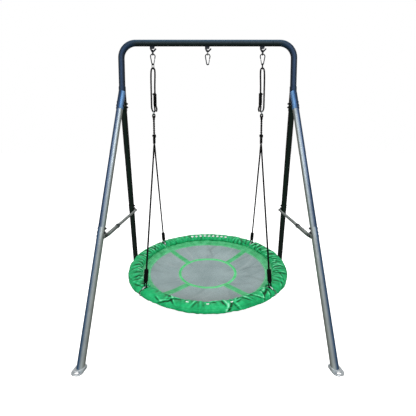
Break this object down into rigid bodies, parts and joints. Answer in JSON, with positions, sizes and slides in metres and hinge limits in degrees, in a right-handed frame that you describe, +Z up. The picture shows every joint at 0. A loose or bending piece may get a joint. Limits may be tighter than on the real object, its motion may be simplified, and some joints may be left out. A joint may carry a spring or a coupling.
{
  "type": "saucer nest swing",
  "caption": "Nest swing with a padded round saucer seat hung by ropes from snap hooks on an A-frame steel tube stand.",
  "frame": {"origin": "on the ground, under the middle of the crossbar", "axes": "+Z up, X along the crossbar from left to right, the seat swings along Y and +Y is the rear"},
  "size_m": [1.2774, 1.0852, 1.7044],
  "materials": {
    "slate_paint": "satin powder coat",
    "silver_paint": "satin silver-blue powder coat",
    "dark_paint": "satin dark powder coat",
    "zinc": "bright zinc plate",
    "dark_steel": "darkened steel",
    "black_plastic": "matt",
    "black_rope": "braided synthetic rope",
    "green_cover": "gathered woven cover",
    "grey_mat": "coarse mesh fabric"
  },
  "bodies": {
    "frame": {"crossbar_tube": "slate_paint", "corner_elbow_left": "slate_paint", "corner_elbow_right": "slate_paint", "leg_socket_left": "slate_paint", "leg_socket_right": "slate_paint", "hanger_hook_left": "slate_paint", "hanger_hook_middle": "slate_paint", "hanger_hook_right": "slate_paint", "leg_upper_front_left": "silver_paint", "leg_upper_front_right": "silver_paint", "leg_lower_front_left": "silver_paint", "leg_lower_front_right": "silver_paint", "leg_upper_rear_left": "dark_paint", "leg_upper_rear_right": "dark_paint", "leg_lower_rear_left": "dark_paint", "leg_lower_rear_right": "dark_paint", "foot_plate_front_left": "zinc", "foot_plate_front_right": "zinc", "foot_plate_rear_left": "zinc", "foot_plate_rear_right": "zinc", "brace_front_left": "zinc", "brace_front_right": "zinc", "brace_rear_left": "zinc", "brace_rear_right": "zinc", "brace_collar_left": "black_plastic", "brace_collar_right": "black_plastic"},
    "ring_middle": {"swivel_ring_middle": "dark_steel"},
    "rope_left": {"swivel_ring_left": "dark_steel", "snap_hook_left": "dark_steel", "oval_link_left": "dark_steel", "rope_loop_left": "black_rope", "rope_adjuster_left": "black_rope"},
    "eye_left": {"eye_ring_left": "zinc"},
    "strands_left": {"rope_neck_left": "black_rope", "rope_strand_front_left": "black_rope", "rope_strand_rear_left": "black_rope"},
    "rope_right": {"swivel_ring_right": "dark_steel", "snap_hook_right": "dark_steel", "oval_link_right": "dark_steel", "rope_loop_right": "black_rope", "rope_adjuster_right": "black_rope"},
    "eye_right": {"eye_ring_right": "zinc"},
    "strands_right": {"rope_neck_right": "black_rope", "rope_strand_front_right": "black_rope", "rope_strand_rear_right": "black_rope"},
    "saucer": {"rim_tube": "zinc", "seat_mat": "grey_mat", "rim_pad_front": "green_cover", "rim_pad_rear": "green_cover", "rim_pad_left": "green_cover", "rim_pad_right": "green_cover", "rim_clip_front_left": "zinc", "rim_clip_front_right": "zinc", "rim_clip_rear_left": "zinc", "rim_clip_rear_right": "zinc"},
    "hook_middle": {"snap_hook_middle": "dark_steel"},
    "gate_left": {"snap_gate_left": "zinc"},
    "gate_middle": {"snap_gate_middle": "zinc"},
    "gate_right": {"snap_gate_right": "zinc"}
  },
  "joints": [
    {"name": "swing", "type": "hinge", "parent": "frame", "child": "rope_left", "pos_m": [-0.337, 0, 1.636], "axis": [1, 0, 0], "range_deg": [-40, 40]},
    {"name": "seat_pitch", "type": "hinge", "parent": "rope_left", "child": "eye_left", "pos_m": [-0.337, 0, 1.2715], "axis": [1, 0, 0], "range_deg": [-12, 12]},
    {"name": "sway", "type": "hinge", "parent": "eye_left", "child": "strands_left", "pos_m": [-0.337, 0, 1.2525], "axis": [0, 0.9993, 0.0384], "range_deg": [-4.5, 4.5]},
    {"name": "seat_level", "type": "hinge", "parent": "strands_left", "child": "saucer", "pos_m": [-0.337, -0.00068, 0.30479], "axis": [0, 0.9993, 0.0384], "range_deg": [-4.5, 4.5]},
    {"name": "sway_right", "type": "hinge", "parent": "saucer", "child": "strands_right", "pos_m": [0.337, -0.00068, 0.30479], "axis": [0, 0.9993, 0.0384], "range_deg": [-4.5, 4.5]},
    {"name": "level_right", "type": "hinge", "parent": "strands_right", "child": "eye_right", "pos_m": [0.337, 0, 1.2525], "axis": [0, 0.9993, 0.0384], "range_deg": [-4.5, 4.5]},
    {"name": "pitch_right", "type": "hinge", "parent": "eye_right", "child": "rope_right", "pos_m": [0.337, 0, 1.2715], "axis": [1, 0, 0], "range_deg": [-12, 12]},
    {"name": "middle_ring_swing", "type": "hinge", "parent": "frame", "child": "ring_middle", "pos_m": [0, 0, 1.636], "axis": [1, 0, 0], "range_deg": [-40, 40]},
    {"name": "middle_hook_sway", "type": "hinge", "parent": "ring_middle", "child": "hook_middle", "pos_m": [0, 0, 1.6152], "axis": [0, 1, 0], "range_deg": [-20, 20]},
    {"name": "gate_left_open", "type": "hinge", "parent": "rope_left", "child": "gate_left", "pos_m": [-0.32959, 0, 1.5701], "axis": [0, -1, 0], "range_deg": [0, 22], "stiffness_Nm_per_rad": 0.02, "springref_deg": -8.59},
    {"name": "gate_middle_open", "type": "hinge", "parent": "hook_middle", "child": "gate_middle", "pos_m": [0.00741, 0, 1.5701], "axis": [0, -1, 0], "range_deg": [0, 22], "stiffness_Nm_per_rad": 0.02, "springref_deg": -8.59},
    {"name": "gate_right_open", "type": "hinge", "parent": "rope_right", "child": "gate_right", "pos_m": [0.32959, 0, 1.5701], "axis": [0, 1, 0], "range_deg": [0, 22], "stiffness_Nm_per_rad": 0.02, "springref_deg": -8.59}
  ],
  "couplings": [
    {"joint": "seat_level", "follows": "sway", "ratio": -1},
    {"joint": "sway_right", "follows": "sway", "ratio": 1},
    {"joint": "level_right", "follows": "sway", "ratio": -1},
    {"joint": "pitch_right", "follows": "seat_pitch", "ratio": -1}
  ]
}
